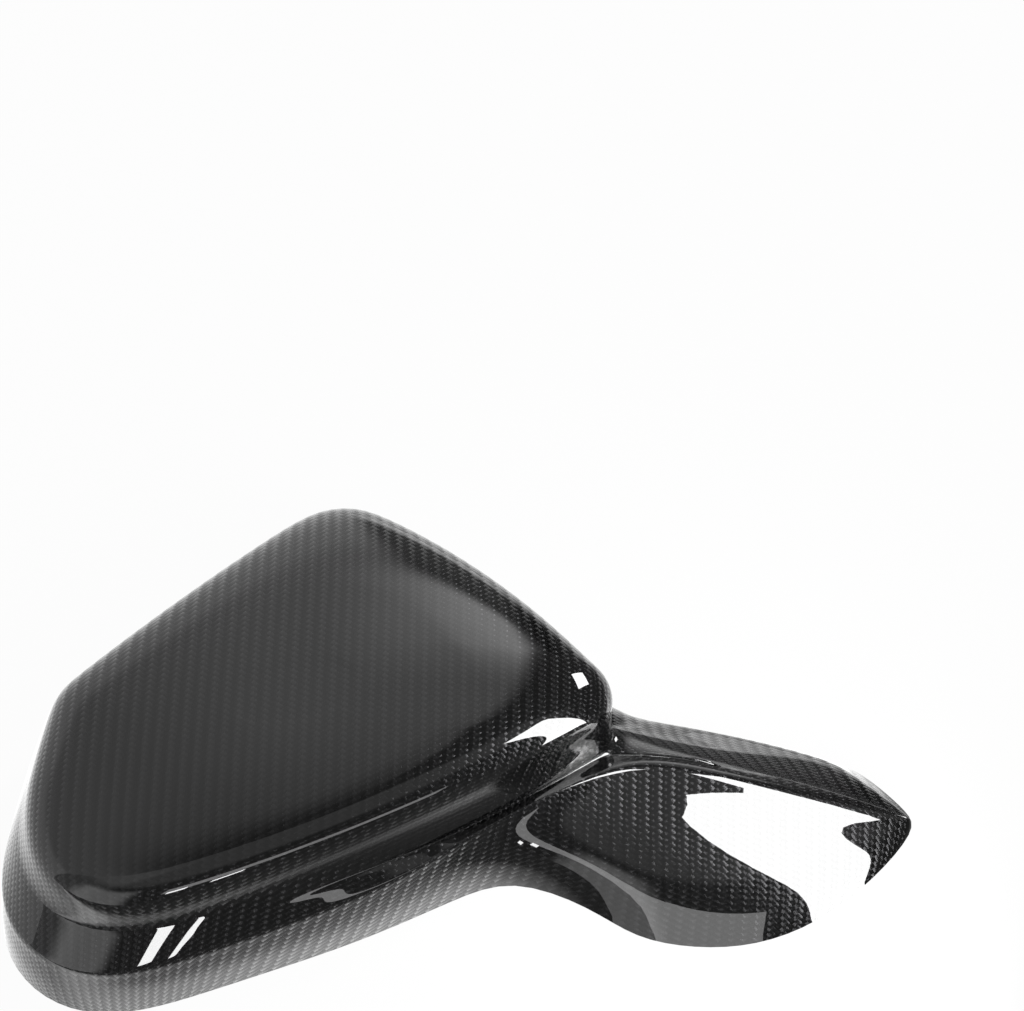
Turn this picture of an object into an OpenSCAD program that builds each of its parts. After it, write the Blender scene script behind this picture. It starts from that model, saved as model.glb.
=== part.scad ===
// Wing mirror cover: one moulded shell, a crowned head with a channel-shaped arm at its inboard corner.
// X runs from the outboard end to the arm, Y from the lower edge to the upper edge, Z towards the crown.
// The cut edge of the shell lies in the plane Z = 0, and the origin is the middle of the whole outline.

/* [Head outline] */
// Length of the lower edge between its sharp corners
head_w = 299; // [240:1:360]
// Rise of the head's lower edge towards the arm
lower_rise = 34; // [20:1:50]
// Height of the outboard end above the lower edge
outboard_h = 125; // [95:1:150]
// Set-back of the upper outboard corner
outboard_lean = 67; // [40:1:90]
// Height of the inboard end above the lower edge
inboard_h = 185; // [155:1:220]
// Set-back of the upper inboard corner
inboard_lean = 88; // [60:1:110]
// Corner radius, lower outboard
corner_lower = 44; // [34:1:54]
// Corner radius, upper outboard
corner_outboard = 26; // [18:1:34]
// Corner radius, upper inboard
corner_upper = 28; // [20:1:36]
// Corner radius beside the arm
corner_arm = 17; // [13:1:22]
// Outward bow of the lower edge
bow_lower = 7; // [2:0.5:9]
// Outward bow of the inboard edge
bow_inboard = 4; // [0:0.5:6]
// Outward bow of the upper and outboard edges
bow_outer = 0.5; // [0:0.5:3]

/* [Head section] */
// Height of the crown above the cut edge
crown_h = 66; // [58:0.5:76]
// Radius of the crown along the head
crown_r_long = 940; // [700:10:1400]
// Radius of the crown across the head
crown_r_cross = 470; // [380:10:800]
// Slope of the face up towards the arm, in degrees
face_slope = 2; // [0:0.1:3]
// Width of the rounded shoulder, lower side
shoulder_lower = 16; // [12:0.5:22]
// Width of the rounded shoulder, inboard side
shoulder_inboard = 34; // [24:0.5:40]
// Width of the rounded shoulder, upper side
shoulder_upper = 34; // [24:0.5:40]
// Width of the rounded shoulder, outboard side
shoulder_outboard = 29; // [20:0.5:36]
// Height of the wall under the shoulder, down from the face
wall_drop = 18; // [15:0.5:21]
// Draft of the wall between the shoulder and the cut edge
draft = 4; // [2:0.5:7]

/* [Lip and ledge] */
// Height of the lip's crest above the cut edge, beside the arm
lip_h = 36; // [34:0.5:38]
// Height of the crease under the lip
crease_h = 31.5; // [29:0.5:33]
// How far the lip stands out from the wall above it
lip_out = 2; // [0.5:0.25:3]
// Height of the lower ridge at the outboard end
ridge_outboard_h = 24; // [20:0.5:27]
// Height of the lower ridge at the arm's root
ridge_root_h = 33; // [30:0.5:34]

/* [Arm] */
// Angle of the arm below the lower edge, in degrees
arm_angle = 31; // [22:1:38]
// Length of the arm from its root to its tip
arm_len = 118; // [95:1:150]
// Distance from the arm's centre line to its rear edge
arm_rear = 31.5; // [25:0.5:36]
// Distance from the arm's centre line to the foot's cut edge
foot_front = 56; // [45:1:65]
// Sharpness of the fold along the foot, from none to full
foot_fold = 1; // [0:0.1:1]
// Length of the rear edge, root to end cut
rear_len = 86; // [70:1:94]
// Height of the ridge at the tip
ridge_tip_h = 24.5; // [20:0.5:28]
// Height of the rear edge
rear_edge_h = 21; // [17:0.5:24]

/* [Wall] */
// Thickness of the laminate
wall = 1.5; // [1:0.1:2.2]

/* [Hidden] */

// Control columns on each stretch of the outline, and how finely each stretch is divided
LOWER = 7;
ARM = 12;
INBOARD = 4;
UPPER_CORNER = 4;
UPPER = 4;
OUTBOARD_CORNER = 4;
OUTBOARD = 2;
LOWER_CORNER = 5;
STRETCHES = [[LOWER, 2], [ARM, 3], [INBOARD, 1], [UPPER_CORNER, 2], [UPPER, 1],
    [OUTBOARD_CORNER, 2], [OUTBOARD, 1], [LOWER_CORNER, 3]];
FINENESS = [for (s = STRETCHES) for (i = [1:s[0]]) s[1]];
COLS = len(FINENESS);
LAST_CORNER = COLS - LOWER_CORNER;

// Sharp corners of the widest outline
CORNER_D = [0, 0];
CORNER_B = [outboard_lean, outboard_h];
CORNER_A = [head_w - inboard_lean, inboard_h];
CORNER_E = [head_w, lower_rise];
FACE_C = [0.535 * head_w, 0.44 * inboard_h];
ROOT = [head_w - 23, lower_rise - 10];
RIDGE_Y = 4;

// Shoulder, from the face outwards: share of its width and drop below the face
SHOULDER = [[1, 0], [0.58, 0.3], [0.25, 2.2], [0.09, 6.5], [0.03, 12]];
// Inset of the wall under the shoulder: lower, inboard, upper and outboard side
WALL_IN = [4, 2.5, 2, 3];
SHOULDER_W = [shoulder_lower, shoulder_inboard, shoulder_upper, shoulder_outboard];
BOW = [bow_lower, bow_inboard, bow_outer, bow_outer];
// Share of the ledge in each column's section: none on the plain sides, all beside the arm
LEDGE = concat([0, 0.05, 0.3, 0.8, 1, 1, 1], [for (i = [1:ARM]) 1], [0.6, 0.1],
    [for (i = [LOWER + ARM + 2:COLS - 1]) 0]);

// Lower ridge beside the head: share of its rise in y and in z
RIDGE_RISE = [[0, 0], [0, 0.2], [0.03, 0.45], [0.13, 0.65], [0.42, 0.82], [0.76, 0.94], [0.95, 1]];
// Cut edge beside the head, its y in each column
RIM_Y = [-0.5, 0, 0.5, 2.5, 6, 8.5, -15];
// Ridge along the arm: share of the arm's length, distance behind its centre line, share of the ridge's fall
RIDGE_W = 4.5;
RIDGE_LINE = [[0.03, 4, 0], [0.25, 6.5, 0.05], [0.48, 5.5, 0.2], [0.71, RIDGE_W, 0.5], [0.92, RIDGE_W, 0.85],
    [1, RIDGE_W, 1]];
// Cut edge of the foot: share of the arm's length, share of the distance to the front, height
FOOT_LINE = [[0.145, 1.01, 0], [0.35, 1, 0], [0.55, 0.89, 0], [0.74, 0.64, 2], [0.9, 0.29, 10]];
// End cut of the arm, from tip to rear corner: shares of the way, its outward bow and the corner it leaves
END_CUT = [0.18, 0.6, 1];
END_BOW = 9;
END_CORNER = 5.5;
// Rear edge, back to the root: share of its length and how far it runs inside the full width
REAR_LINE = [[0.88, 2.5], [0.52, 0], [0.13, 0]];
// Place of the rear edge's last point, behind the head's wall
REAR_END = [-10, -1.5];
// Top face of the arm: its last ring inside the edge (along and across, per column), spine and crown
EDGE_IN = 4;
INWARD = [[-0.7, 0.7], [-0.3, 1], [0, 1], [0, 1], [-0.2, 1], [-1, 0.4], [-1, 0], [-0.9, -0.3], [-0.7, -0.7],
    [-0.2, -1], [0, -1], [-0.3, -0.9]];
SPINE_W = 16;
SPINE_START = 40;
TOP_CROWN = 1;

function mix(a, b, t) = a + (b - a) * t;
function flat(p) = [p[0], p[1]];
function unit(v) = v / norm(v);
function left(v) = [-v[1], v[0]];
function cross2(a, b) = a[0] * b[1] - a[1] * b[0];

// Line through p and q moved to its left, and the meeting point of two lines
function moved(p, q, d) = let (n = left(unit(q - p)) * d) [p + n, q + n];
function meet(l, m) =
    let (r = l[1] - l[0], s = m[1] - m[0])
    l[0] + r * cross2(m[0] - l[0], s) / cross2(r, s);

// Corners D, B, A and E of the outline, each side moved inwards by its own inset
function inset_corners(ins) =
    let (b = moved(CORNER_D, CORNER_E, ins[0]), i = moved(CORNER_E, CORNER_A, ins[1]),
        t = moved(CORNER_A, CORNER_B, ins[2]), o = moved(CORNER_B, CORNER_D, ins[3]))
    [meet(o, b), meet(t, o), meet(i, t), meet(b, i)];

// Points on the arc that rounds the corner c between p and q
function arc_points(p, c, q, r, count) =
    let (u = unit(p - c), v = unit(q - c), half = acos(u * v) / 2,
        centre = c + unit(u + v) * r / sin(half),
        from = c + u * r / tan(half) - centre,
        start = atan2(from[1], from[0]), turn = 180 - 2 * half)
    [for (i = [0:count - 1]) let (a = start + turn * i / (count - 1)) centre + r * [cos(a), sin(a)]];

// Points along a side that bows outwards
function side_points(p, q, count, bow) =
    let (out = -left(unit(q - p)))
    [for (i = [1:count]) let (t = i / (count + 1)) mix(p, q, t) + out * bow * 4 * t * (1 - t)];

// One closed control ring of the head in plan
function head_plan(ins, radii, bow) =
    let (c = inset_corners(ins),
        e = arc_points(c[0], c[3], c[2], radii[3], ARM),
        a = arc_points(c[3], c[2], c[1], radii[2], UPPER_CORNER),
        b = arc_points(c[2], c[1], c[0], radii[1], OUTBOARD_CORNER),
        d = arc_points(c[1], c[0], c[3], radii[0], LOWER_CORNER))
    concat(
        side_points(d[LOWER_CORNER - 1], e[0], LOWER, BOW[0] * bow), e,
        side_points(e[ARM - 1], a[0], INBOARD, BOW[1] * bow), a,
        side_points(a[UPPER_CORNER - 1], b[0], UPPER, BOW[2] * bow), b,
        side_points(b[OUTBOARD_CORNER - 1], d[0], OUTBOARD, BOW[3] * bow), d);

RADII = [corner_lower, corner_outboard, corner_upper, corner_arm];

// Height of the crowned face
function face_z(p) =
    let (d = flat(p) - FACE_C)
    crown_h + d[0] * tan(face_slope) - d[0] * d[0] / (2 * crown_r_long) - d[1] * d[1] / (2 * crown_r_cross);
function on_face(ring, drop) = [for (p = ring) [p[0], p[1], face_z(p) - drop]];
function at_height(ring, z) = [for (p = ring) [p[0], p[1], z]];
function mix_rings(a, b, t) = [for (j = [0:COLS - 1]) mix(a[j], b[j], t)];
function mix_ledge(plain, ledge) = [for (j = [0:COLS - 1]) mix(plain[j], ledge[j], LEDGE[j])];

// Arm coordinates: distance along the arm and distance behind its centre line
ARM_DIR = [cos(arm_angle), -sin(arm_angle)];
function arm_point(s, w, z) = let (p = ROOT + ARM_DIR * s + left(ARM_DIR) * w) [p[0], p[1], z];
function on_arm(p) = let (q = flat(p) - ROOT) [q * ARM_DIR, q * left(ARM_DIR)];
function share(x) = max(0, min(1, x));
function end_cut(f) = mix(arm_len, rear_len, f) + END_BOW * f * (1 - f);

// Height of the arm's top face: it falls along the ridge and towards the rear edge
function top_z(a) =
    let (t = share((a[1] - RIDGE_W) / (arm_rear - RIDGE_W)))
    mix(mix(ridge_root_h, ridge_tip_h, pow(share(a[0] / arm_len), 2.1)), rear_edge_h, t)
        + TOP_CROWN * 4 * t * (1 - t);

// Lower outboard corner of the base, rounded between the outboard side and the line at y
function base_corner(inset, y, r) =
    let (side = moved(CORNER_B, CORNER_D, inset), low = [[0, y], [head_w, y]])
    arc_points(side[0], meet(side, low), low[1], r, LOWER_CORNER);

// The lower edge beside the head keeps to x positions spread from the corner to the arm's root
function along_head(corner, j) = mix(corner[LOWER_CORNER - 1][0], ROOT[0], (j + 1) / (LOWER + 1));

// Height of the ridge line on the plain sides of the head
PLAIN_RIDGE_H = ridge_outboard_h - 4;
ridge_corner = base_corner(-5, RIDGE_Y, corner_lower + 2);
ridge_plan = head_plan([-0.5, -1.5, -1.5, -4.5], RADII + [2, 1, 1, 0], 1);
ridge_ring = concat(
    [for (j = [0:LOWER - 1]) let (f = RIDGE_RISE[j])
        [along_head(ridge_corner, j), mix(RIDGE_Y, ROOT[1] - 1, f[0]), mix(ridge_outboard_h, ridge_root_h, f[1])]],
    [for (f = RIDGE_LINE) arm_point(f[0] * arm_len, f[1], mix(ridge_root_h, ridge_tip_h, f[2]))],
    [for (f = END_CUT)
        arm_point(end_cut(f), mix(RIDGE_W, arm_rear - END_CORNER, f), mix(ridge_tip_h, rear_edge_h, f))],
    [for (f = REAR_LINE) arm_point(rear_len * f[0], arm_rear - f[1], rear_edge_h)],
    [arm_point(REAR_END[0], arm_rear + REAR_END[1], rear_edge_h)],
    [for (j = [LOWER + ARM + 1:LAST_CORNER - 1]) [ridge_plan[j][0], ridge_plan[j][1], PLAIN_RIDGE_H]],
    [for (i = [0:LOWER_CORNER - 1])
        [ridge_corner[i][0], ridge_corner[i][1], mix(PLAIN_RIDGE_H, ridge_outboard_h, i / (LOWER_CORNER - 1))]]);

// Cut edge: level on the head and the foot, rising over the end of the arm
TIP_OUT = 1.5;
rim_rear = arm_rear + draft - 4;
rim_corner = base_corner(-2 - draft, RIM_Y[0], corner_lower + 2);
rim_plan = head_plan([-3, -draft, -draft, -1.5 - draft], RADII + [2, 1, 2, 1], 1);
rim_ring = concat(
    [for (j = [0:LOWER - 1]) [along_head(rim_corner, j), RIM_Y[j], 0]],
    [for (f = FOOT_LINE) arm_point(f[0] * arm_len, -f[1] * foot_front, f[2])],
    [arm_point(arm_len + TIP_OUT, 3, ridge_tip_h - 2.5)],
    [for (f = END_CUT)
        arm_point(end_cut(f) + TIP_OUT, mix(6, rim_rear, f), mix(ridge_tip_h - 3, rear_edge_h - 6, f))],
    [arm_point(rear_len * REAR_LINE[0][0], rim_rear + 1, 3)],
    [for (k = [1, 2]) arm_point(rear_len * REAR_LINE[k][0], rim_rear + 1, 0)],
    at_height([for (j = [LOWER + ARM:LAST_CORNER - 1]) rim_plan[j]], 0),
    at_height(rim_corner, 0));

// Control rings of the face, evening out from an oval at the middle to the rounded head outline
function shoulder_ring(k) =
    let (s = SHOULDER[k])
    on_face(head_plan(WALL_IN + SHOULDER_W * s[0], RADII + [-14, -4, -2, 8] * s[0], 1), s[1]);
shoulder_rings = [for (k = [0:len(SHOULDER) - 1]) shoulder_ring(k)];
function face_ring(f) =
    on_face([for (j = [0:COLS - 1]) let (a = 360 * j / COLS - 125)
        mix(FACE_C + [0.28 * head_w * cos(a), 0.29 * inboard_h * sin(a)] * f,
            mix(FACE_C, flat(shoulder_rings[0][j]), f), pow(f, 1.2))], 0);
face_rings = [for (f = [0, 0.3, 0.6, 0.9]) face_ring(f)];

// Wall, lip and crease, which fade into a plain wall away from the arm
wall_ring = on_face(head_plan(WALL_IN + [0.2, 2.5, -1, -1.5], RADII, 1), wall_drop);
function plain(k) = mix_rings(wall_ring, ridge_ring, k / 7);
LIP_IN = 4 - lip_out;
lip_rings = [
    mix_ledge(plain(1), at_height(head_plan([LIP_IN + 0.3, 9.5, 0, -1], RADII - [0, 0, 0, 4], 1), lip_h)),
    mix_ledge(plain(2), at_height(head_plan([LIP_IN - 0.8, 10.5, 0, -1], RADII - [0, 0, 0, 5], 1),
        mix(crease_h, lip_h, 0.45))),
    mix_ledge(plain(3), at_height(head_plan([LIP_IN - 0.4, 13.5, 0, -1], RADII - [0, 0, 0, 7], 1), crease_h))];

// Ledge from the crease to the ridge, and the arm's top face, whose middle ring follows the arm's spine
function arm_ledge(i) =
    let (crease = lip_rings[2][LOWER + i], ridge = ridge_ring[LOWER + i],
        c = on_arm(crease), r = on_arm(ridge), edge = r + INWARD[i] * EDGE_IN,
        g = share(r[0] / SPINE_START), level = max(g, 0.5),
        mid = [mix(c[0], r[0], 0.55), mix(mix(c[1], r[1], 0.55), mix(r[1], SPINE_W, 0.7), g)],
        m = arm_point(mid[0], mid[1], mix(mix(crease[2], ridge[2], 0.5), top_z(mid), level)))
    [mix(crease, m, 0.3), m,
        arm_point(edge[0], edge[1], mix(mix(crease[2], ridge[2], 0.88), top_z(edge), level))];
function ledge_point(j, k) = j >= LOWER && j < LOWER + ARM ? arm_ledge(j - LOWER)[k]
    : mix(lip_rings[2][j], ridge_ring[j], [0.12, 0.5, 0.88][k]);
ledge_rings = [for (k = [0:2]) mix_ledge(plain(k + 4), [for (j = [0:COLS - 1]) ledge_point(j, k)])];

// Outer side below the ridge: share of the way out and share of the way down, where plain and where folded
SIDE = [[0.1, 0.12], [0.32, 0.28], [0.62, 0.52], [0.85, 0.78]];
SIDE_FOLDED = [[0.1, 0.1], [0.34, 0.22], [0.68, 0.41], [0.86, 0.74]];
// Share of the fold in each column: none beside the head, all at the foot's root, fading towards its tip
FOLD = concat([0, 0, 0, 0, 0.1, 0.4, 0.8, 1, 1, 0.7, 0.2, 0, 0], [for (j = [LOWER + 6:COLS - 1]) 0]);
side_rings = [for (k = [0:3]) [for (j = [0:COLS - 1])
    let (s = mix(SIDE[k], SIDE_FOLDED[k], FOLD[j] * foot_fold), p = mix(ridge_ring[j], rim_ring[j], s[0]))
    [p[0], p[1], mix(ridge_ring[j][2], rim_ring[j][2], s[1])]]];

RINGS = concat(face_rings, shoulder_rings, [wall_ring], lip_rings, ledge_rings, [ridge_ring], side_rings,
    [rim_ring]);
LAST = len(RINGS) - 1;

// Smooth surface over the control rings: cubic B-spline weights and their slopes
function weights(t) = [pow(1 - t, 3), 3 * pow(t, 3) - 6 * t * t + 4, -3 * pow(t, 3) + 3 * t * t + 3 * t + 1,
    pow(t, 3)] / 6;
function slopes(t) = [-pow(1 - t, 2), 3 * t * t - 4 * t, -3 * t * t + 2 * t + 1, t * t] / 2;
function beyond(a, b) = [for (j = [0:COLS - 1]) 2 * a[j] - b[j]];
NET = concat([beyond(RINGS[0], RINGS[1])], RINGS, [beyond(RINGS[LAST], RINGS[LAST - 1])]);
function row(i, w) = [for (j = [0:COLS - 1]) w[0] * NET[i][j] + w[1] * NET[i + 1][j] + w[2] * NET[i + 2][j]
    + w[3] * NET[i + 3][j]];
function around(ring, j, w) = w[0] * ring[(j + COLS - 1) % COLS] + w[1] * ring[j] + w[2] * ring[(j + 1) % COLS]
    + w[3] * ring[(j + 2) % COLS];

// Outer point and outward normal at each place of one row
function surface_row(v) =
    let (i = min(floor(v), LAST - 1), here = row(i, weights(v - i)), down = row(i, slopes(v - i)))
    [for (j = [0:COLS - 1]) for (k = [0:FINENESS[j] - 1])
        let (t = k / FINENESS[j], w = weights(t), across = around(here, j, slopes(t)))
        [around(here, j, w), unit(cross(around(down, j, w), across))]];

// Inner point under an outer one; at the cut edge it stays in the cut plane
function inner_point(pn, at_rim) =
    let (p = pn[0], n = pn[1], straight = p - n * wall, side = flat(n),
        level = [p[0], p[1], p[2]] - [side[0], side[1], 0] * wall / max(side * side, 0.25),
        q = at_rim ? mix(level, straight, min(1, p[2] / 3)) : straight)
    [q[0], q[1], max(0, q[2])];

OUTER_V = [1, 2, 3, 3.7, 4.4, 5, 5.5, 6, 6.5, 7, 7.5, 8, 8.5, 9, 9.4, 9.7, 10, 10.3, 10.7, 11, 11.5, 12, 13, 14,
    14.5, 15, 15.5, 16, 17, 18, 19, LAST];
INNER_V = [2, 4, 5, 6, 7, 8, 9, 10, 11, 12, 13, 14, 15, 16, 17, 18, 19, LAST];
outer_rows = [for (v = OUTER_V) [for (pn = surface_row(v)) pn[0]]];
inner_rows = [for (v = INNER_V) [for (pn = surface_row(v)) inner_point(pn, v == LAST)]];
M = len(outer_rows[0]);

all_x = [for (r = outer_rows) for (p = r) p[0]];
all_y = [for (r = outer_rows) for (p = r) p[1]];
MIDDLE = [(min(all_x) + max(all_x)) / 2, (min(all_y) + max(all_y)) / 2];

// Triangles between two neighbouring rows that start at points a and b
function strip(a, b) = [for (k = [0:M - 1]) let (n = (k + 1) % M)
    each [[a + k, a + n, b + n], [a + k, b + n, b + k]]];
function fan(pole, a) = [for (k = [0:M - 1]) [pole, a + (k + 1) % M, a + k]];
function flipped(faces) = [for (f = faces) [f[0], f[2], f[1]]];

module mirror_cover() {
    outer_count = len(outer_rows);
    inner_count = len(inner_rows);
    crown = [FACE_C[0], FACE_C[1], crown_h];
    inner_start = 1 + outer_count * M;
    inner_pole = inner_start + inner_count * M;
    points = concat([crown], [for (r = outer_rows) each r], [for (r = inner_rows) each r],
        [crown - [0, 0, wall]]);
    faces = concat(
        fan(0, 1),
        [for (i = [0:outer_count - 2]) each strip(1 + i * M, 1 + (i + 1) * M)],
        flipped([for (i = [0:inner_count - 2]) each strip(inner_start + i * M, inner_start + (i + 1) * M)]),
        flipped(fan(inner_pole, inner_start)),
        strip(1 + (outer_count - 1) * M, inner_start + (inner_count - 1) * M));
    color([0.12, 0.12, 0.13])
        translate([-MIDDLE[0], -MIDDLE[1], 0])
            polyhedron(points, faces, convexity = 8);
}

mirror_cover();
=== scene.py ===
"""Wing mirror cover: a glossy carbon shell on a white studio floor.

Sizes of the cage are in millimetres, those of the studio in metres, and directions in the studio in degrees.
"""
import bmesh
import bpy
import numpy as np
from math import acos, atan2, cos, pi, radians, sin, sqrt, tan
from mathutils import Matrix, Vector


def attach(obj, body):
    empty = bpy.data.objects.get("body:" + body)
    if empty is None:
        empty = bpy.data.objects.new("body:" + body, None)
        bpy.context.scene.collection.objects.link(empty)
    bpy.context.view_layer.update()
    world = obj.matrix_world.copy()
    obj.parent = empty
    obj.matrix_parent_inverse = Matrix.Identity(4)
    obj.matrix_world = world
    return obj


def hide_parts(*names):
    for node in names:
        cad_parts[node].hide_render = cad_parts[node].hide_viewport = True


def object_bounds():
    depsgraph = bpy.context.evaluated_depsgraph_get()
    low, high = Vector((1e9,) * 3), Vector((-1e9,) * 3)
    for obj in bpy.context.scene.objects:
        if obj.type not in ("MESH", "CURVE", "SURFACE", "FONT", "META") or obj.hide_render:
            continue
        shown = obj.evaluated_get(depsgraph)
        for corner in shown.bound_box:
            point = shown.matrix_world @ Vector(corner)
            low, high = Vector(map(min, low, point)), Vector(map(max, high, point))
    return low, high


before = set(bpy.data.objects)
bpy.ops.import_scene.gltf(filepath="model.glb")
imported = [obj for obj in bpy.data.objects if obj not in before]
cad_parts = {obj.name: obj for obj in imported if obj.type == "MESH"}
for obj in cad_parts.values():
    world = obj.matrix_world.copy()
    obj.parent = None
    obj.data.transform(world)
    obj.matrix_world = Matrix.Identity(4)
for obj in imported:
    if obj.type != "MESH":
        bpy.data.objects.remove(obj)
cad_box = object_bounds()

bpy.ops.object.select_all(action="DESELECT")
MM = 0.001

# Sizes, as in the construction
HEAD_W, LOWER_RISE = 299, 34
OUTBOARD_H, OUTBOARD_LEAN, INBOARD_H, INBOARD_LEAN = 125, 67, 185, 88
# Corner radii: lower outboard, upper outboard, upper inboard and by the arm
RADII = np.array([44.0, 26.0, 28.0, 17.0])
CROWN_H, CROWN_R_LONG, CROWN_R_CROSS, FACE_SLOPE = 66, 940, 470, tan(radians(2))
# Width of the shoulder on the lower, inboard, upper and outboard side, as in all lists of four insets
SHOULDER_W = np.array([16.0, 34.0, 34.0, 29.0])
WALL_DROP, DRAFT = 18, 4
LIP_H, CREASE_H, LIP_IN = 36, 31.5, 2
RIDGE_OUTBOARD_H, RIDGE_ROOT_H, RIDGE_TIP_H, REAR_EDGE_H = 24, 33, 24.5, 21
ARM_ANGLE, ARM_LEN, ARM_REAR, FOOT_FRONT, REAR_LEN = radians(31), 118, 31.5, 56, 86
WALL = 1.5

# Columns of the cage on each stretch of the outline, from the lower outboard corner round by the arm
LOWER, ARM, INBOARD, UPPER_CORNER, UPPER, OUTBOARD_CORNER, OUTBOARD, LOWER_CORNER = 7, 12, 4, 4, 4, 4, 2, 5
COLS = LOWER + ARM + INBOARD + UPPER_CORNER + UPPER + OUTBOARD_CORNER + OUTBOARD + LOWER_CORNER
LAST_CORNER = COLS - LOWER_CORNER

# Rings of the face, as shares of the way out to the shoulder
FACE_SHARES = (0.3, 0.6, 0.9)
# Rings of the shoulder: share of its width inwards, drop below the face
SHOULDER = [(1, 0), (0.58, 0.3), (0.25, 2.2), (0.09, 6.5), (0.03, 12)]
WALL_IN = np.array([4.0, 2.5, 2.0, 3.0])
BOW = [7, 4, 0.5, 0.5]
# How far the lip and the ledge are formed in each column
LEDGE = [0, 0.05, 0.3, 0.8, 1, 1, 1] + [1] * ARM + [0.6, 0.1] + [0] * (COLS - LOWER - ARM - 2)
# Ridge: its place beside the head, and its distance from the arm's centre line
RIDGE_Y, RIDGE_W = 4, 4.5
# Ridge beside the head, by column: share of its way to the arm in plan and in height
RIDGE_RISE = [(0, 0), (0, 0.2), (0.03, 0.45), (0.13, 0.65), (0.42, 0.82), (0.76, 0.94), (0.95, 1)]
# Cut edge beside the head, by column: its place across the part
RIM_Y = [-0.5, 0, 0.5, 2.5, 6, 8.5, -15]
# Ridge along the arm: share of its length, distance from the centre line, share of the fall to its tip
RIDGE_LINE = [(0.03, 4, 0), (0.25, 6.5, 0.05), (0.48, 5.5, 0.2), (0.71, RIDGE_W, 0.5), (0.92, RIDGE_W, 0.85),
              (1, RIDGE_W, 1)]
# Cut edge of the foot: share of the arm's length, share of the foot's depth, height
FOOT_LINE = [(0.145, 1.01, 0), (0.35, 1, 0), (0.55, 0.89, 0), (0.74, 0.64, 2), (0.9, 0.29, 10)]
# Slanted end of the arm: shares across it, its bow, its rear corner and how far the cut edge stands out
END_CUT, END_BOW, END_CORNER, TIP_OUT = (0.18, 0.6, 1), 9, 5.5, 1.5
# Ridge along the arm's rear: share of its length, inset
REAR_LINE = [(0.88, 2.5), (0.52, 0), (0.13, 0)]
EDGE_IN, SPINE_W, SPINE_START, TOP_CROWN = 4, 16, 40, 1
# Way inwards from the ridge in each column of the arm
INWARD = [(-0.7, 0.7), (-0.3, 1), (0, 1), (0, 1), (-0.2, 1), (-1, 0.4), (-1, 0), (-0.9, -0.3), (-0.7, -0.7),
          (-0.2, -1), (0, -1), (-0.3, -0.9)]
# Rings from the ridge down to the cut edge: share of the way in plan and in height, plain and folded
SIDE = np.array([(0.1, 0.12), (0.32, 0.28), (0.62, 0.52), (0.85, 0.78)])
SIDE_FOLDED = np.array([(0.1, 0.1), (0.34, 0.22), (0.68, 0.41), (0.86, 0.74)])
# Share of the fold in each column
FOLD = np.array([0, 0, 0, 0, 0.1, 0.4, 0.8, 1, 1, 0.7, 0.2, 0, 0] + [0] * (COLS - LOWER - 6))[:, None]


def vec(*values):
    return np.array(values, float)


def mix(a, b, t):
    return a + (b - a) * t


def share(x):
    return min(1, max(0, x))


def unit(v):
    return v / np.linalg.norm(v)


def left(v):
    return vec(-v[1], v[0])


def cross(a, b):
    return a[0] * b[1] - a[1] * b[0]


CORNER_D, CORNER_B = vec(0, 0), vec(OUTBOARD_LEAN, OUTBOARD_H)
CORNER_A, CORNER_E = vec(HEAD_W - INBOARD_LEAN, INBOARD_H), vec(HEAD_W, LOWER_RISE)
FACE_C = vec(0.535 * HEAD_W, 0.44 * INBOARD_H)
ROOT = vec(HEAD_W - 23, LOWER_RISE - 10)
ARM_DIR = vec(cos(ARM_ANGLE), -sin(ARM_ANGLE))


def moved(p, q, distance):
    shift = left(unit(q - p)) * distance
    return p + shift, q + shift


def meet(first, second):
    r, s = first[1] - first[0], second[1] - second[0]
    return first[0] + r * cross(second[0] - first[0], s) / cross(r, s)


def arc_points(p, corner, q, radius, count):
    """Points on the arc that rounds a corner between p and q."""
    u, v = unit(p - corner), unit(q - corner)
    half = acos(u @ v) / 2
    centre = corner + unit(u + v) * radius / sin(half)
    start = corner + u * radius / tan(half) - centre
    first, turn = atan2(start[1], start[0]), pi - 2 * half
    return [centre + radius * vec(cos(first + turn * i / (count - 1)), sin(first + turn * i / (count - 1)))
            for i in range(count)]


def side_points(p, q, count, bow):
    """Points along a side that bows outwards."""
    out = -left(unit(q - p))
    return [mix(p, q, i / (count + 1)) + out * bow * 4 * (i / (count + 1)) * (1 - i / (count + 1))
            for i in range(1, count + 1)]


def head_plan(insets, radii):
    """One closed ring of the head in plan, each side moved inwards by its own inset."""
    low, inb = moved(CORNER_D, CORNER_E, insets[0]), moved(CORNER_E, CORNER_A, insets[1])
    up, out = moved(CORNER_A, CORNER_B, insets[2]), moved(CORNER_B, CORNER_D, insets[3])
    d, b, a, e = meet(out, low), meet(up, out), meet(inb, up), meet(low, inb)
    at_e, at_a = arc_points(d, e, a, radii[3], ARM), arc_points(e, a, b, radii[2], UPPER_CORNER)
    at_b, at_d = arc_points(a, b, d, radii[1], OUTBOARD_CORNER), arc_points(b, d, e, radii[0], LOWER_CORNER)
    return np.array(side_points(at_d[-1], at_e[0], LOWER, BOW[0]) + at_e
                    + side_points(at_e[-1], at_a[0], INBOARD, BOW[1]) + at_a
                    + side_points(at_a[-1], at_b[0], UPPER, BOW[2]) + at_b
                    + side_points(at_b[-1], at_d[0], OUTBOARD, BOW[3]) + at_d)


def face_z(ring):
    d = ring[:, :2] - FACE_C
    return (CROWN_H + d[:, 0] * FACE_SLOPE - d[:, 0] ** 2 / (2 * CROWN_R_LONG)
            - d[:, 1] ** 2 / (2 * CROWN_R_CROSS))


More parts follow.
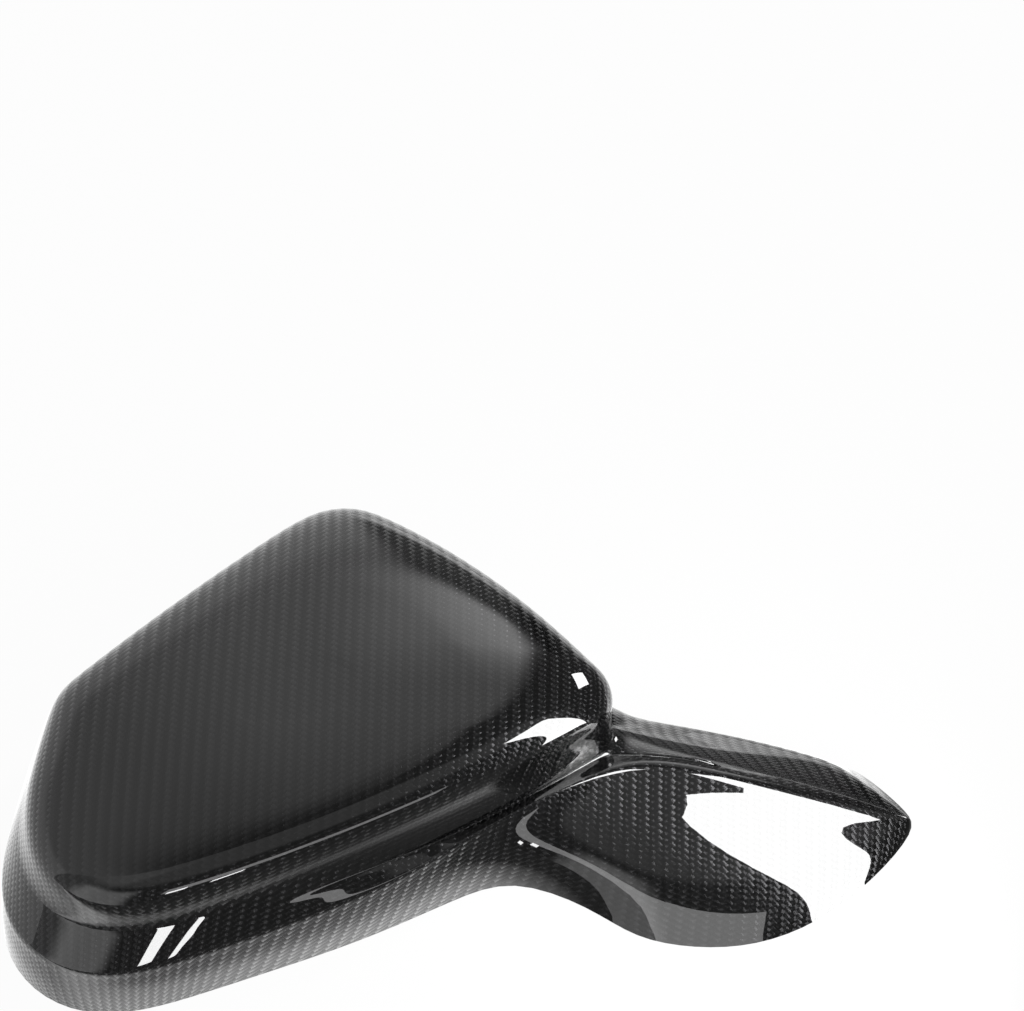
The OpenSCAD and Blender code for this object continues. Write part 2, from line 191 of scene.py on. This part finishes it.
def on_face(ring, drop):
    return np.column_stack([ring[:, :2], face_z(ring) - drop])


def at_height(ring, z):
    return np.column_stack([ring[:, :2], np.full(len(ring), float(z))])


def on_arm(p):
    """Distance along the arm and distance behind its centre line."""
    q = p[:2] - ROOT
    return vec(q @ ARM_DIR, q @ left(ARM_DIR))


def arm_point(s, w, z):
    p = ROOT + ARM_DIR * s + left(ARM_DIR) * w
    return vec(p[0], p[1], z)


def top_z(a):
    """Height of the arm's top face."""
    t = share((a[1] - RIDGE_W) / (ARM_REAR - RIDGE_W))
    ridge = mix(RIDGE_ROOT_H, RIDGE_TIP_H, share(a[0] / ARM_LEN) ** 2.1)
    return mix(ridge, REAR_EDGE_H, t) + TOP_CROWN * 4 * t * (1 - t)


def base_corner(inset, y, radius):
    side, low = moved(CORNER_B, CORNER_D, inset), (vec(0, y), vec(HEAD_W, y))
    return arc_points(side[0], meet(side, low), low[1], radius, LOWER_CORNER)


def along_head(corner, j):
    return mix(corner[-1][0], ROOT[0], (j + 1) / (LOWER + 1))


def end_cut(f):
    return mix(ARM_LEN, REAR_LEN, f) + END_BOW * f * (1 - f)


def ridge_ring():
    """Lower ridge: beside the head, along the arm, round its end and back along its rear edge."""
    plain_h = RIDGE_OUTBOARD_H - 4
    corner = base_corner(-5, RIDGE_Y, RADII[0] + 2)
    plan = head_plan([-0.5, -1.5, -1.5, -4.5], RADII + [2, 1, 1, 0])
    ring = [vec(along_head(corner, j), mix(RIDGE_Y, ROOT[1] - 1, f[0]),
                mix(RIDGE_OUTBOARD_H, RIDGE_ROOT_H, f[1]))
            for j, f in enumerate(RIDGE_RISE)]
    ring += [arm_point(f[0] * ARM_LEN, f[1], mix(RIDGE_ROOT_H, RIDGE_TIP_H, f[2])) for f in RIDGE_LINE]
    ring += [arm_point(end_cut(f), mix(RIDGE_W, ARM_REAR - END_CORNER, f), mix(RIDGE_TIP_H, REAR_EDGE_H, f))
             for f in END_CUT]
    ring += [arm_point(REAR_LEN * f[0], ARM_REAR - f[1], REAR_EDGE_H) for f in REAR_LINE]
    ring += [arm_point(-10, ARM_REAR - 1.5, REAR_EDGE_H)]
    ring += [vec(*plan[j], plain_h) for j in range(LOWER + ARM + 1, LAST_CORNER)]
    ring += [vec(*p, mix(plain_h, RIDGE_OUTBOARD_H, i / (LOWER_CORNER - 1))) for i, p in enumerate(corner)]
    return np.array(ring)


def rim_ring():
    """Cut edge: level on the head and the foot, rising over the end of the arm."""
    rear = ARM_REAR + DRAFT - 4
    corner = base_corner(-2 - DRAFT, RIM_Y[0], RADII[0] + 2)
    plan = head_plan([-3, -DRAFT, -DRAFT, -1.5 - DRAFT], RADII + [2, 1, 2, 1])
    ring = [vec(along_head(corner, j), y, 0) for j, y in enumerate(RIM_Y)]
    ring += [arm_point(f[0] * ARM_LEN, -f[1] * FOOT_FRONT, f[2]) for f in FOOT_LINE]
    ring += [arm_point(ARM_LEN + TIP_OUT, 3, RIDGE_TIP_H - 2.5)]
    ring += [arm_point(end_cut(f) + TIP_OUT, mix(6, rear, f), mix(RIDGE_TIP_H - 3, REAR_EDGE_H - 6, f))
             for f in END_CUT]
    ring += [arm_point(REAR_LEN * f[0], rear + 1, z) for f, z in zip(REAR_LINE, (3, 0, 0))]
    ring += [vec(*plan[j], 0) for j in range(LOWER + ARM, LAST_CORNER)] + [vec(*p, 0) for p in corner]
    return np.array(ring)


def cage_rings():
    """Rings of the cage from the middle of the face out to the cut edge."""
    ridge, rim = ridge_ring(), rim_ring()
    shoulder = [on_face(head_plan(WALL_IN + SHOULDER_W * w, RADII + vec(-14, -4, -2, 8) * w), drop)
                for w, drop in SHOULDER]
    angle = np.radians(360 * np.arange(COLS) / COLS - 125)
    oval = np.column_stack([0.28 * HEAD_W * np.cos(angle), 0.29 * INBOARD_H * np.sin(angle)])
    face = [on_face(mix(FACE_C + oval * f, mix(FACE_C, shoulder[0][:, :2], f), f ** 1.2), 0)
            for f in FACE_SHARES]
    wall = on_face(head_plan(WALL_IN + vec(0.2, 2.5, -1, -1.5), RADII), WALL_DROP)
    amount = np.array(LEDGE)[:, None]

    def plain(k):
        return mix(wall, ridge, k / 7)

    lips = [at_height(head_plan([LIP_IN + 0.3, 9.5, 0, -1], RADII - [0, 0, 0, 4]), LIP_H),
            at_height(head_plan([LIP_IN - 0.8, 10.5, 0, -1], RADII - [0, 0, 0, 5]),
                      mix(CREASE_H, LIP_H, 0.45)),
            at_height(head_plan([LIP_IN - 0.4, 13.5, 0, -1], RADII - [0, 0, 0, 7]), CREASE_H)]
    lips = [mix(plain(k + 1), lip, amount) for k, lip in enumerate(lips)]
    crease = lips[2]
    ledge = [mix(crease, ridge, f) for f in (0.12, 0.5, 0.88)]
    for i in range(ARM):
        j = LOWER + i
        c, r = on_arm(crease[j]), on_arm(ridge[j])
        edge = r + vec(*INWARD[i]) * EDGE_IN
        g = share(r[0] / SPINE_START)
        level = max(g, 0.5)
        mid = vec(mix(c[0], r[0], 0.55), mix(mix(c[1], r[1], 0.55), mix(r[1], SPINE_W, 0.7), g))
        ledge[2][j] = arm_point(*edge, mix(mix(crease[j], ridge[j], 0.88)[2], top_z(edge), level))
        ledge[1][j] = arm_point(*mid, mix(mix(crease[j], ridge[j], 0.5)[2], top_z(mid), level))
        ledge[0][j] = mix(crease[j], ledge[1][j], 0.3)
    ledge = [mix(plain(k + 4), ring, amount) for k, ring in enumerate(ledge)]
    side = []
    for plain_side, folded in zip(SIDE, SIDE_FOLDED):
        way = plain_side + (folded - plain_side) * FOLD
        ring = mix(ridge, rim, way[:, :1])
        ring[:, 2] = mix(ridge[:, 2], rim[:, 2], way[:, 1])
        side.append(ring)
    return face + shoulder + [wall] + lips + ledge + [ridge] + side + [rim]


# The shell
RINGS = cage_rings()


def way_out():
    """Direction in plan, in degrees, in which each column of the cloth runs down the walls."""
    corner = {n: np.linspace(0, 1, n + 2)[1:-1] for n in (4, 5)}
    arm = np.concatenate([np.full(5, -84.0), np.linspace(-70, -6, ARM - 5)])
    foot = np.array([-84, -88, -95, -100, -90, -60, -20, 0, 20, 60, 90, 90.0])
    rest = np.concatenate([np.full(INBOARD, 0.0), 90 * corner[4], np.full(UPPER, 90.0), 90 + 90 * corner[4],
                           np.full(OUTBOARD, 180.0), 180 + 96 * corner[5]])
    upper = np.concatenate([np.full(LOWER, -84.0), arm, rest])
    lower = np.concatenate([np.full(LOWER, -84.0), foot, [60, 30], rest[2:]])
    return np.radians(upper), np.radians(lower)


def weave_rings(rings):
    """Place of each cage point on the cloth: as in plan, with the way down the walls added."""
    flat = [r[:, :2].copy() for r in rings]
    upper, lower = way_out()
    ridge, crease = len(rings) - 6, len(rings) - 10
    for k in range(1, len(rings)):
        step = rings[k] - rings[k - 1]
        if k <= len(FACE_SHARES):
            flat[k] = flat[k - 1] + step[:, :2]
            continue
        angle = upper if k <= ridge else lower
        out = np.column_stack([np.cos(angle), np.sin(angle)])
        along = (step[:, :2] * out).sum(axis=1)
        down = np.sqrt(along ** 2 + step[:, 2] ** 2)
        if crease < k <= ridge:
            arm = slice(LOWER, LOWER + ARM)
            down[arm] = along[arm]
        flat[k] = flat[k - 1] + step[:, :2] + out * (down - along)[:, None]
    return flat


MIDDLE_ROW, GRID_SPAN, GRID_SINK = -1, 11, 0.15
SMOOTH_ANGLE = radians(50)


def cage_layers(shell):
    """The cage in edit mode, with the layers that hold the column and the row of each point."""
    bm = bmesh.from_edit_mesh(shell.data)
    return bm, bm.verts.layers.int["column"], bm.verts.layers.int["row"]


def draw_cage():
    """A circle that is drawn out ring by ring, from the middle of the face to the cut edge."""
    bpy.ops.mesh.primitive_circle_add(vertices=COLS, radius=100 * MM, location=(0, 0, 0))
    shell = bpy.context.object
    shell.name = shell.data.name = "mirror_cover_shell"
    bpy.ops.object.mode_set(mode="EDIT")
    bm = bmesh.from_edit_mesh(shell.data)
    for name in ("column", "row"):
        bm.verts.layers.int.new(name)
    bm, column, row = cage_layers(shell)
    for i, v in enumerate(sorted(bm.verts, key=lambda v: atan2(v.co.y, v.co.x) % (2 * pi))):
        v[column] = i
    bpy.ops.mesh.select_all(action="SELECT")
    for k, ring in enumerate(RINGS):
        if k:
            bpy.ops.mesh.extrude_edges_indiv()
            bm, column, row = cage_layers(shell)
        for v in bm.verts:
            if v.select:
                v.co = Vector(ring[v[column]]) * MM
                v[row] = k
        bmesh.update_edit_mesh(shell.data)
    return shell


def close_face(shell):
    """Closes the hole at the middle of the face with a grid, so no pole shows in the gloss."""
    bm, column, row = cage_layers(shell)
    bpy.ops.mesh.select_all(action="DESELECT")
    for v in bm.verts:
        v.select = v[row] == 0
    bm.select_flush_mode()
    bmesh.update_edit_mesh(shell.data)
    bpy.ops.mesh.fill_grid(span=GRID_SPAN)
    bm, column, row = cage_layers(shell)
    edge_points = {tuple(round(c, 7) for c in Vector(point) * MM) for point in RINGS[0]}
    for v in bm.verts:
        if v.select and tuple(round(c, 7) for c in v.co) not in edge_points:
            v[row] = MIDDLE_ROW
            p = np.array([[v.co.x / MM, v.co.y / MM]])
            v.co.z = (face_z(p)[0] - GRID_SINK) * MM


def lay_cloth(shell):
    """Writes the place of each corner on the cloth into the piece's own UV map."""
    cloth = weave_rings(RINGS)
    bm, column, row = cage_layers(shell)
    uv = bm.loops.layers.uv.new("cloth")
    for f in bm.faces:
        for loop in f.loops:
            v = loop.vert
            if v[row] == MIDDLE_ROW:
                loop[uv].uv = (v.co.x, v.co.y)
            else:
                p = cloth[v[row]][v[column]]
                loop[uv].uv = (p[0] * MM, p[1] * MM)
    bpy.ops.mesh.select_all(action="SELECT")
    bpy.ops.mesh.normals_make_consistent(inside=False)
    bpy.ops.object.mode_set(mode="OBJECT")


def round_off(shell):
    """Rounds the cage off into the outer surface."""
    rounding = shell.modifiers.new("rounding", "SUBSURF")
    rounding.levels = rounding.render_levels = 2
    rounding.uv_smooth = "PRESERVE_BOUNDARIES"
    bpy.ops.object.modifier_apply(modifier=rounding.name)


def fit_to_frame(shell):
    """Centres the part on the frame's box and draws it in by the few hundredths that it stands out of it."""
    points = np.array([v.co[:] for v in shell.data.vertices])
    low, high = points.min(axis=0), points.max(axis=0)
    box_low, box_high = np.array(cad_box[0]), np.array(cad_box[1])
    shift = (box_low + box_high - low - high) / 2 * [1, 1, 0]
    fit = np.minimum(1, (box_high - box_low) / (high - low))
    bpy.ops.object.mode_set(mode="EDIT")
    bpy.ops.mesh.select_all(action="SELECT")
    bpy.ops.transform.translate(value=shift)
    bpy.ops.transform.resize(value=fit, center_override=(0, 0, 0))
    bpy.ops.object.mode_set(mode="OBJECT")


def give_wall(shell):
    """Gives the surface its thickness inwards, and keeps the cut edge level across it."""
    outer_count = len(shell.data.vertices)
    laminate = shell.modifiers.new("laminate", "SOLIDIFY")
    laminate.thickness = WALL * MM
    laminate.offset = -1
    bpy.ops.object.modifier_apply(modifier=laminate.name)
    for polygon in shell.data.polygons:
        ends = [k for k in polygon.vertices if k < outer_count]
        if 0 < len(ends) < len(polygon.vertices):
            for a, b in polygon.edge_keys:
                outer, inner = min(a, b), max(a, b)
                if outer < outer_count <= inner:
                    shell.data.vertices[inner].co.z = shell.data.vertices[outer].co.z
    bpy.ops.object.shade_smooth_by_angle(angle=SMOOTH_ANGLE)


shell = draw_cage()
close_face(shell)
lay_cloth(shell)
round_off(shell)
fit_to_frame(shell)
give_wall(shell)


# Materials
class Socket:
    """A shader value that Python's operators turn into Math nodes."""

    def __init__(self, tree, out):
        self.tree, self.out = tree, out

    def maths(self, operation, *others):
        return self.tree.add("ShaderNodeMath", {"operation": operation}, *((self,) + others))

    def __add__(self, other):
        return self.maths("ADD", other)

    __radd__ = __add__

    def __mul__(self, other):
        return self.maths("MULTIPLY", other)

    __rmul__ = __mul__

    def __sub__(self, other):
        return self.maths("SUBTRACT", other)

    def __rsub__(self, other):
        return self.tree.add("ShaderNodeMath", {"operation": "SUBTRACT"}, other, self)

    def __lt__(self, other):
        return self.maths("LESS_THAN", other)

    def floor(self):
        return self.maths("FLOOR")

    def wrap(self, size):
        return self.maths("FLOORED_MODULO", size)


class Tree:
    """A node tree that is written node by node."""

    def __init__(self, owner):
        owner.use_nodes = True
        self.nodes, self.links = owner.node_tree.nodes, owner.node_tree.links
        self.nodes.clear()

    def parts(self, vector):
        """The three numbers of a vector."""
        node = self.add("ShaderNodeSeparateXYZ", {}, vector).out.node
        return [Socket(self, socket) for socket in node.outputs]

    def add(self, kind, settings, *values, output=0, **named):
        node = self.nodes.new(kind)
        for name, value in settings.items():
            setattr(node, name, value)
        pairs = list(enumerate(values)) + [(k.replace("_", " "), v) for k, v in named.items()]
        for key, value in pairs:
            socket = node.inputs[key]
            if isinstance(value, Socket):
                self.links.new(value.out, socket)
            else:
                socket.default_value = value
        return Socket(self, node.outputs[output]) if len(node.outputs) else node


TOW, CLOTH_TURN, CLOTH_RELIEF = 1.82 * MM, radians(19), 0.4 * MM
# The warp tows' lighter base colour is painted sheen, in place of the gleam that light draws from one family of
# fibres
CLOTH_GREY, PAINTED_WARP_SHEEN, GAP_SHADE = 0.004, 0.006, 0.8
CROWN_ALONG, CROWN_ACROSS = 0.8, 0.15
# Added to the numbers of the tows, so that none is below zero
TOW_START = 500


def carbon():
    """2x2 twill under a clear gloss coat, on the bias, so that its floats stack in columns along Y."""
    material = bpy.data.materials.new("carbon_twill_clear_coat")
    t = Tree(material)
    x, y, _ = t.parts(t.add("ShaderNodeUVMap", {"uv_map": "cloth"}))
    u, v = x * cos(CLOTH_TURN) - y * sin(CLOTH_TURN), x * sin(CLOTH_TURN) + y * cos(CLOTH_TURN)
    a = (u + v) * (1 / (sqrt(2) * TOW)) + TOW_START
    b = (v - u) * (1 / (sqrt(2) * TOW)) + TOW_START
    i, j = a.floor(), b.floor()
    m = (i - j).wrap(4)
    warp = m < 1.5
    fa, fb = a - i, b - j
    along = warp * (fb - m) + (1 - warp) * (fa - 3 + m)
    across = warp * (fa - 0.5) + (1 - warp) * (fb - 0.5)
    height = (1 - along * along) * CROWN_ALONG + (1 - across * across * 4) * CROWN_ACROSS
    gap = (across * across * 4).maths("POWER", 6)
    shade = (warp * PAINTED_WARP_SHEEN + CLOTH_GREY) * (1 - gap * GAP_SHADE)
    colour = t.add("ShaderNodeCombineColor", {}, shade, shade, shade * 1.03)
    bump = t.add("ShaderNodeBump", {}, Strength=1.0, Distance=CLOTH_RELIEF, Height=height)
    surface = t.add("ShaderNodeBsdfPrincipled", {}, Base_Color=colour, Roughness=0.23, Metallic=1.0,
                    Normal=bump, Coat_Weight=1.0, Coat_Roughness=0.015)
    t.add("ShaderNodeOutputMaterial", {}, surface)
    return material


shell.data.materials.clear()
shell.data.materials.append(carbon())
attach(shell, "root")
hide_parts("mirror_cover")

# Studio
WHITE = (1, 1, 1, 1)
PAPER = (0.8, 0.8, 0.8, 1)
FLOOR_SIZE, FLOOR_Z = 6, -0.0004
# The floor in the gloss: its level far out, how its bands slant, and each band's first place, full place, level
FLOOR_FAR, FLOOR_SLANT = 0.25, 0.12
FLOOR_BANDS = ((-0.09, -0.071, 1.2), (-0.074, -0.06, 2.6), (-0.05, -0.03, 1.3))
# Share of the floor that the camera sees as plain white
FLOOR_WHITE = 0.96
# Lamps: name, azimuth, elevation, distance, roll, width, height and brightness
SOFTBOXES = (
    ("foot_softbox", -43.9, 32, 0.22, -13, 0.036, 0.242, 24),
    ("square_window", 23.5, 41.4, 2.05, -8, 0.32, 0.43, 25),
    ("foot_card", -96.6, 23.2, 0.34, -10.5, 0.31, 0.054, 3.3),
    ("left_corner_lamp", -106, 17, 1.76, 0, 0.15, 0.15, 22),
    ("right_corner_lamp", -96, 10.5, 1.76, 0, 0.13, 0.13, 22),
)


def step(t, value, low, high):
    """Runs smoothly from 0 at low to 1 at high."""
    return t.add("ShaderNodeMapRange", {"interpolation_type": "SMOOTHSTEP"}, value, low, high, 0.0, 1.0)


def ray_kinds(t):
    """Whether a ray comes from the camera, and whether it comes off a gloss."""
    rays = t.add("ShaderNodeLightPath", {}).out.node
    return Socket(t, rays.outputs["Is Camera Ray"]), Socket(t, rays.outputs["Is Glossy Ray"])


def make_floor():
    """White paper. In the gloss it is bright along the front of the part and dark further out."""
    bpy.ops.mesh.primitive_plane_add(size=FLOOR_SIZE, location=(0, 0, FLOOR_Z))
    floor = bpy.context.object
    floor.name = "floor"
    paper = bpy.data.materials.new("white_paper")
    t = Tree(paper)
    x, y, _ = t.parts(t.add("ShaderNodeTexCoord", {}, output=3))
    camera_ray, glossy_ray = ray_kinds(t)

    def shining(strength):
        return t.add("ShaderNodeEmission", {}, Color=WHITE, Strength=strength)

    front = y - x * FLOOR_SLANT
    table = shining(FLOOR_FAR)
    for first, full, strength in FLOOR_BANDS:
        table = t.add("ShaderNodeMixShader", {}, step(t, front, first, full), table, shining(strength))
    diffuse = t.add("ShaderNodeBsdfDiffuse", {}, Color=PAPER)
    seen = t.add("ShaderNodeMixShader", {}, camera_ray * FLOOR_WHITE, diffuse, shining(1.0))
    t.add("ShaderNodeOutputMaterial", {}, t.add("ShaderNodeMixShader", {}, glossy_ray, seen, table))
    floor.data.materials.append(paper)


def make_world():
    """White screens behind the part and to its left, in a darker room."""
    world = bpy.data.worlds.new("studio")
    bpy.context.scene.world = world
    t = Tree(world)
    dx, dy, dz = t.parts(t.add("ShaderNodeTexCoord", {}))
    around = dy.maths("ARCTAN2", dx) * (180 / pi)
    height = dz.maths("ARCSINE") * (180 / pi)

    def area(level, *edges):
        """An area with soft edges, each of them dark at its first angle and at full level at its second."""
        for angle, dark, full in edges:
            level = step(t, angle, dark, full) * level
        return level

    screen = area(1, (around, 46, 54), (height, 84, 62))
    screen_level = area(0.3, (around, 110, 85)) + area(0.4, (height, 42, 32)) + 0.65
    side_screen = area(0.35, (around, -145, -160), (height, 84, 70))
    front_screen = area(1.5, (around, -120, -132), (around, -170, -158), (height, 50, 38))
    ceiling = area(0.4, (height, 50, 62), (around, 10, -10))
    bright_spot = area(2.4, (around, 49, 55), (around, 84, 58), (height, 38, 46), (height, 62, 50))
    horizon = area(0.9, (around, 48, 54), (around, 76, 64), (height, 14, 6))
    slot = area(0.75, (around, 42, 46), (around, 76, 68), (height, 8, 14), (height, 44, 36))
    room = 0.2
    lit = screen * screen_level + side_screen + front_screen + ceiling + bright_spot + horizon + room
    camera_ray, glossy_ray = ray_kinds(t)
    level = glossy_ray * (lit * (1 - slot)) + (1 - glossy_ray) * (camera_ray * 0.6 + 0.4)
    t.add("ShaderNodeOutputWorld", {}, t.add("ShaderNodeBackground", {}, WHITE, level))


def softbox(name, azimuth, elevation, distance, roll, width, height, brightness):
    """A rectangular lamp that faces the part from a direction."""
    a, e = radians(azimuth), radians(elevation)
    way = Vector((cos(a) * cos(e), sin(a) * cos(e), sin(e)))
    turn = way.to_track_quat("Z", "Y") @ Matrix.Rotation(radians(roll), 3, "Z").to_quaternion()
    bpy.ops.object.light_add(type="AREA", location=way * distance)
    lamp = bpy.context.object
    lamp.name = name
    lamp.data.shape, lamp.data.size, lamp.data.size_y = "RECTANGLE", width, height
    lamp.data.energy = brightness * pi * width * height
    lamp.rotation_euler = turn.to_euler()
    lamp.visible_camera = False


make_floor()
make_world()
for lamp in SOFTBOXES:
    softbox(*lamp)

# Camera
CAMERA_TURN, CAMERA_RISE, FOCAL_MM, SENSOR_MM = radians(19), radians(55), 99.0, 36
# Place of the camera in its own view: right, up and back from a point on the cut edge's lower outboard corner
CAMERA_PLACE = (0.1766, 0.1932, 1.1)
CAMERA_FROM = Vector((-0.16258, -0.04973, 0))

right = Vector((cos(CAMERA_TURN), -sin(CAMERA_TURN), 0))
ahead = Vector((sin(CAMERA_TURN), cos(CAMERA_TURN), 0))
up = ahead * sin(CAMERA_RISE) + Vector((0, 0, cos(CAMERA_RISE)))
behind = Vector((0, 0, sin(CAMERA_RISE))) - ahead * cos(CAMERA_RISE)
spot = right * CAMERA_PLACE[0] + up * CAMERA_PLACE[1] + behind * CAMERA_PLACE[2] + CAMERA_FROM
view = bpy.data.cameras.new("camera")
camera = bpy.data.objects.new("camera", view)
bpy.context.collection.objects.link(camera)
view.lens, view.sensor_width = FOCAL_MM, SENSOR_MM
camera.matrix_world = Matrix((
    (right.x, up.x, behind.x, spot.x), (right.y, up.y, behind.y, spot.y), (right.z, up.z, behind.z, spot.z),
    (0, 0, 0, 1)))
scene = bpy.context.scene
scene.camera = camera
scene.view_settings.view_transform = "Standard"
